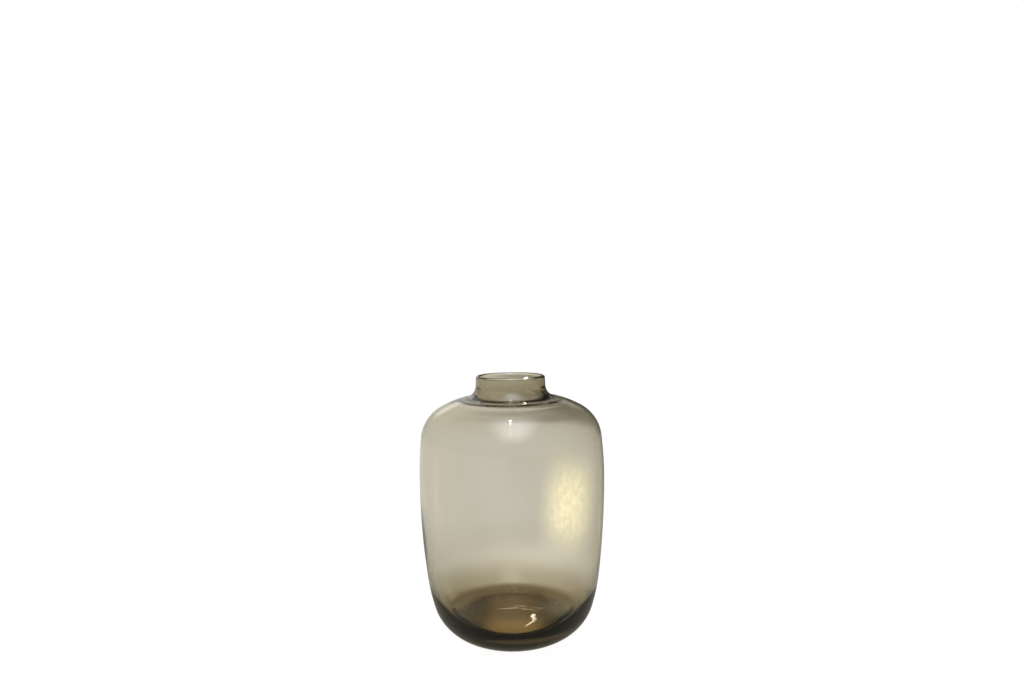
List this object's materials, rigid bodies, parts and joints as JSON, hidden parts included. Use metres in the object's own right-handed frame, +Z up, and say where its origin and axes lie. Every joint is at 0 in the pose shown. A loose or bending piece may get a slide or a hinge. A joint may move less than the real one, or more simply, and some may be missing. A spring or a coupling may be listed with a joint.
{
  "type": "glass vase",
  "caption": "Barrel-shaped vase in smoked glass with a short wide neck, rounded lip and thick heavy base; holds water and cut flowers.",
  "frame": {"origin": "centre of the standing ring, on the surface the vase stands on", "axes": "+Z up along the axis of the vase, towards the mouth; the vase is round, so +X and +Y are free"},
  "size_m": [0.21, 0.21, 0.29],
  "materials": {
    "smoked_glass": "polished mouth-blown glass, smoke brown all through, lighter where thin"
  },
  "bodies": {
    "root": {"base": "smoked_glass", "heel": "smoked_glass", "lower_body": "smoked_glass", "belly": "smoked_glass", "shoulder": "smoked_glass", "crown": "smoked_glass", "neck": "smoked_glass", "lip": "smoked_glass"}
  },
  "joints": []
}
